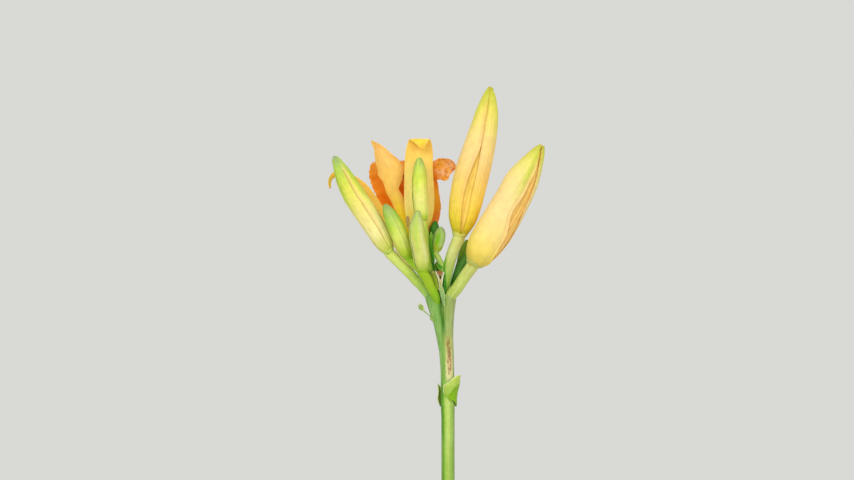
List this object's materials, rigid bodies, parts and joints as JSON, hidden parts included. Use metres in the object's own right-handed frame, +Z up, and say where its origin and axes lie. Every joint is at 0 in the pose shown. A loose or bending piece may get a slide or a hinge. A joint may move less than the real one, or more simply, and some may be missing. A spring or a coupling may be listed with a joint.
{
  "type": "lily flower in bottle",
  "caption": "Cut daylily scape with yellow buds and an orange flower, standing in water in a clear glass bottle that rests on its flat base.",
  "frame": {"origin": "centre of the bottle's flat base", "axes": "+Z up along the bottle's axis, -Y towards the side that the flowers face"},
  "size_m": [0.1125, 0.086, 0.4065],
  "materials": {
    "clear_glass": "clear, fire-polished",
    "water": "clear liquid",
    "scape_skin": "satin, waxy",
    "stalk_skin": "satin, waxy",
    "bud_skin": "satin, waxy",
    "young_bud_skin": "satin, waxy",
    "sepal_skin": "satin",
    "petal_skin": "satin",
    "leafy_bract": "satin",
    "withered_bract": "papery",
    "stamen": "powdery tip",
    "style": "satin"
  },
  "bodies": {
    "root": {"bottle": "clear_glass", "centre_bud": "young_bud_skin", "centre_stalk": "stalk_skin", "cup_bract": "withered_bract", "dry_wisp": "withered_bract", "flower_stalk": "stalk_skin", "flower_tube": "bud_skin", "fork_bract": "leafy_bract", "front_bud": "young_bud_skin", "front_stalk": "stalk_skin", "inner_left_bud": "young_bud_skin", "inner_left_stalk": "stalk_skin", "left_bud": "bud_skin", "left_stalk": "stalk_skin", "lower_back_bud": "young_bud_skin", "lower_back_stalk": "stalk_skin", "petal_back": "petal_skin", "petal_left": "petal_skin", "petal_right": "petal_skin", "pistil": "style", "right_bud": "bud_skin", "right_stalk": "stalk_skin", "scape": "scape_skin", "scape_bract": "leafy_bract", "sepal_back": "sepal_skin", "sepal_front": "sepal_skin", "sepal_left": "sepal_skin", "shaded_bud": "young_bud_skin", "shaded_stalk": "stalk_skin", "small_bud": "young_bud_skin", "small_stalk": "stalk_skin", "stamen_1": "stamen", "stamen_2": "stamen", "stamen_3": "stamen", "stamen_4": "stamen", "stamen_5": "stamen", "stamen_6": "stamen", "tall_bud": "bud_skin", "tall_stalk": "stalk_skin", "upper_back_bud": "young_bud_skin", "upper_back_stalk": "stalk_skin", "water": "water"}
  },
  "joints": []
}
